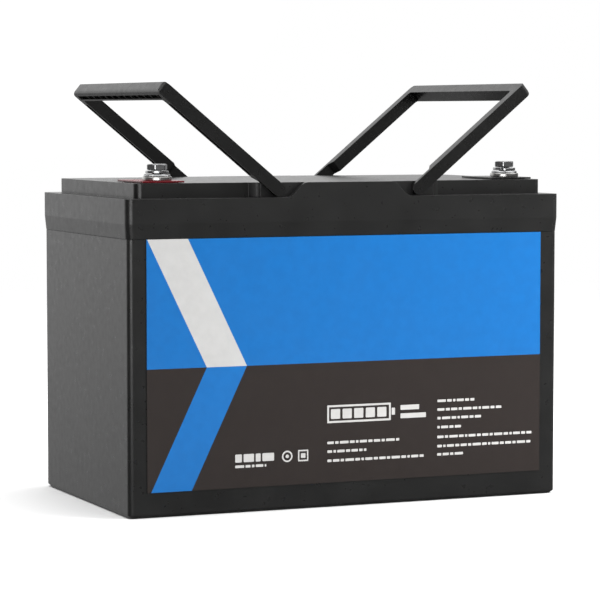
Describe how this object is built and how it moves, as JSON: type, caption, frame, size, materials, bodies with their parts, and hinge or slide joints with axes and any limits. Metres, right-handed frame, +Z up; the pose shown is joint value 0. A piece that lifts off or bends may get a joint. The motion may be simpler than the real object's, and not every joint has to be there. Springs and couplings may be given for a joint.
{
  "type": "deep cycle battery",
  "caption": "Sealed deep cycle leisure battery in a rectangular moulded case with a stepped cover, bolt terminals on pads and fold-down carry handles.",
  "frame": {"origin": "middle of the case's underside, on the surface it stands on", "axes": "+X along the length towards the negative terminal's end, -Y out of the labelled front, +Z up"},
  "size_m": [0.307, 0.1714, 0.2756],
  "materials": {
    "case_plastic": "fine-textured moulded ABS, charcoal black",
    "handle_plastic": "smooth moulded polypropylene, black",
    "seal_rubber": "closed-cell rubber strip",
    "pad_red": "smooth red moulded plastic",
    "pad_black": "smooth black moulded plastic",
    "tinned_brass": "tin-plated, turned",
    "zinc_steel": "bright zinc-plated steel",
    "copper": "plain copper strip and crimp lugs",
    "label_film": "printed vinyl film, blue above warm black with a white diagonal band",
    "cell_wrap": "blue shrink-wrapped aluminium can",
    "insulating_sheet": "off-white insulating sheet",
    "epoxy_board": "pale green-yellow glass-epoxy board",
    "foam": "grey EVA foam",
    "strap_plastic": "green embossed packing strap",
    "circuit_board": "green solder-mask board",
    "heatsink_alloy": "extruded, plain",
    "red_cable": "silicone-sheathed cable, red",
    "black_cable": "silicone-sheathed cable, black"
  },
  "bodies": {
    "body": {"balance_harness": "black_cable", "base_pad": "foam", "bms_board": "circuit_board", "bms_heatsink": "heatsink_alloy", "bms_screw_1": "zinc_steel", "bms_screw_2": "zinc_steel", "bms_screw_3": "zinc_steel", "bms_screw_4": "zinc_steel", "bms_terminal_block": "tinned_brass", "bms_tray": "insulating_sheet", "busbar_1_2": "copper", "busbar_2_3": "copper", "busbar_3_4": "copper", "case": "case_plastic", "cell_1": "cell_wrap", "cell_2": "cell_wrap", "cell_3": "cell_wrap", "cell_4": "cell_wrap", "cell_divider_1": "insulating_sheet", "cell_divider_2": "insulating_sheet", "cell_divider_3": "insulating_sheet", "cell_lug_negative": "copper", "cell_lug_positive": "copper", "cell_negative_lead": "black_cable", "cell_nut_1_back": "zinc_steel", "cell_nut_1_front": "zinc_steel", "cell_nut_2_back": "zinc_steel", "cell_nut_2_front": "zinc_steel", "cell_nut_3_back": "zinc_steel", "cell_nut_3_front": "zinc_steel", "cell_nut_4_back": "zinc_steel", "cell_nut_4_front": "zinc_steel", "cover": "case_plastic", "cover_seal": "seal_rubber", "end_foam_left": "foam", "end_foam_right": "foam", "end_plate_left": "epoxy_board", "end_plate_right": "epoxy_board", "label_front": "label_film", "negative_lead": "black_cable", "pack_strap_lower": "strap_plastic", "pack_strap_upper": "strap_plastic", "positive_lead": "red_cable", "post_lug_negative": "copper", "post_lug_positive": "copper", "post_nut_negative": "tinned_brass", "post_nut_positive": "tinned_brass", "terminal_pad_negative": "pad_black", "terminal_pad_positive": "pad_red", "terminal_post_negative": "tinned_brass", "terminal_post_positive": "tinned_brass"},
    "handle_left": {"handle_left": "handle_plastic"},
    "handle_right": {"handle_right": "handle_plastic"},
    "washers_positive": {"flat_washer_positive": "zinc_steel", "spring_washer_positive": "zinc_steel"},
    "bolt_positive": {"terminal_bolt_positive": "zinc_steel"},
    "washers_negative": {"flat_washer_negative": "zinc_steel", "spring_washer_negative": "zinc_steel"},
    "bolt_negative": {"terminal_bolt_negative": "zinc_steel"}
  },
  "joints": [
    {"name": "handle_left_fold", "type": "hinge", "parent": "body", "child": "handle_left", "pos_m": [-0.0496, 0, 0.2068], "axis": [0, 1, 0], "range_deg": [-39.4, 75]},
    {"name": "handle_right_fold", "type": "hinge", "parent": "body", "child": "handle_right", "pos_m": [0.0496, 0, 0.2068], "axis": [0, -1, 0], "range_deg": [-39.4, 75]},
    {"name": "bolt_positive_lift", "type": "slide", "parent": "body", "child": "washers_positive", "axis": [0, 0, 1], "range_m": [0, 0.00375]},
    {"name": "bolt_positive_turn", "type": "hinge", "parent": "washers_positive", "child": "bolt_positive", "pos_m": [-0.1244, -0.0617, 0.2214], "axis": [0, 0, 1], "range_deg": [0, 1080]},
    {"name": "bolt_negative_lift", "type": "slide", "parent": "body", "child": "washers_negative", "axis": [0, 0, 1], "range_m": [0, 0.00375]},
    {"name": "bolt_negative_turn", "type": "hinge", "parent": "washers_negative", "child": "bolt_negative", "pos_m": [0.1244, -0.0617, 0.2214], "axis": [0, 0, 1], "range_deg": [0, 1080]}
  ],
  "couplings": [
    {"joint": "bolt_positive_lift", "follows": "bolt_positive_turn", "m_per_rad": 0.00019894},
    {"joint": "bolt_negative_lift", "follows": "bolt_negative_turn", "m_per_rad": 0.00019894}
  ]
}
